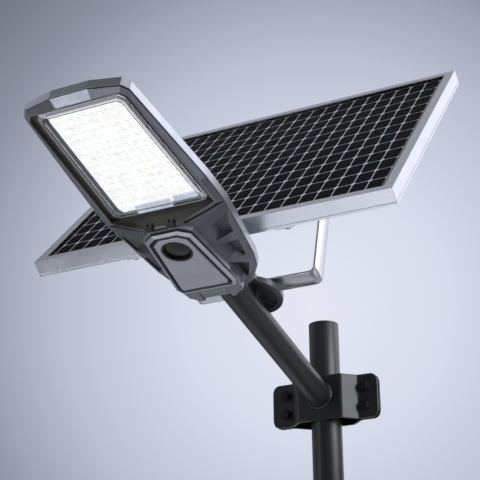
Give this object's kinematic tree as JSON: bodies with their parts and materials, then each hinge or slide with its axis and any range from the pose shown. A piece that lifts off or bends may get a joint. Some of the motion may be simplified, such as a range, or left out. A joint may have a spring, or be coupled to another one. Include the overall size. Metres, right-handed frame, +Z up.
{
  "type": "solar street lamp",
  "caption": "Solar street lamp: inclined arm clamped to a mast section, faceted LED head with presence sensor, and a framed solar panel on a swivelling, tilting U-bracket.",
  "frame": {"origin": "centre of the mast section's lower cut end, on the mast axis", "axes": "+Z up along the mast; the arm and lamp head reach out towards -Y and rise 16 degrees; +X is across the lamp"},
  "size_m": [0.69, 0.9546, 0.7851],
  "materials": {
    "mast": "charcoal powder coat, satin",
    "clamp": "charcoal powder coat, satin",
    "arm": "charcoal powder coat, satin",
    "head_shell": "silver-grey paint on die-cast aluminium, satin",
    "lens_frame": "silver-grey paint on die-cast aluminium, satin",
    "head_base": "mid-grey paint on die-cast aluminium, satin",
    "cover": "silver-grey paint, satin",
    "sensor": "black infrared-clear lens",
    "led_board": "white solder mask",
    "optics": "clear to white moulded lenses",
    "gasket": "matt black silicone",
    "lens": "clear, polished",
    "battery": "heat-shrink sleeve",
    "controller": "green circuit board",
    "clip": "black moulding",
    "rosette": "dark grey, fine cast",
    "zinc": "zinc-plated steel",
    "bracket": "bright satin flat bar",
    "frame": "satin anodised extrusion",
    "panel_glass": "low-iron glass",
    "cells": "near-black solar cells with silver lines",
    "back_sheet": "white backing film",
    "junction_box": "black moulding",
    "rail": "mill-finish angle",
    "black_bolt": "black-coated steel"
  },
  "bodies": {
    "mast": {"mast_tube": "mast"},
    "head": {"clamp_front": "clamp", "clamp_rear": "clamp", "clamp_bolt_1": "black_bolt", "clamp_bolt_2": "black_bolt", "clamp_bolt_3": "black_bolt", "clamp_bolt_4": "black_bolt", "clamp_nut_1": "black_bolt", "clamp_nut_2": "black_bolt", "clamp_nut_3": "black_bolt", "clamp_nut_4": "black_bolt", "arm_tube": "arm", "head_top_shell": "head_shell", "head_front_frame": "lens_frame", "head_rear_base": "head_base", "pipe_saddle": "head_base", "rear_cover": "cover", "sensor_window": "sensor", "led_board": "led_board", "optics_plate": "optics", "lens_gasket": "gasket", "lens_cover": "lens", "battery_pack": "battery", "charge_controller": "controller", "cover_clip_left": "clip", "cover_clip_right": "clip", "rosette_lower": "rosette"},
    "bracket": {"rosette_upper": "rosette", "strap_bracket": "bracket", "swivel_bolt": "zinc", "swivel_washer": "zinc", "swivel_nut": "zinc"},
    "panel": {"frame_bottom": "frame", "frame_top": "frame", "frame_left": "frame", "frame_right": "frame", "panel_glass": "panel_glass", "cell_sheet": "cells", "back_sheet": "back_sheet", "junction_box": "junction_box", "rail_left": "rail", "rail_right": "rail", "rail_screw_1": "zinc", "rail_screw_2": "zinc", "rail_screw_3": "zinc", "rail_screw_4": "zinc", "pivot_bolt_left": "zinc", "pivot_bolt_right": "zinc", "pivot_nut_left": "zinc", "pivot_nut_right": "zinc"}
  },
  "joints": [
    {"name": "mast_swivel", "type": "hinge", "parent": "mast", "child": "head", "pos_m": [0, 0, 0.175], "axis": [0, 0, 1], "continuous": true},
    {"name": "panel_swivel", "type": "hinge", "parent": "head", "child": "bracket", "pos_m": [0, -0.32683, 0.26872], "axis": [0, 0.2756, 0.9613], "range_deg": [-90, 90]},
    {"name": "panel_tilt", "type": "hinge", "parent": "bracket", "child": "panel", "pos_m": [0, -0.24174, 0.56546], "axis": [1, 0, 0], "range_deg": [-45, 0]}
  ]
}
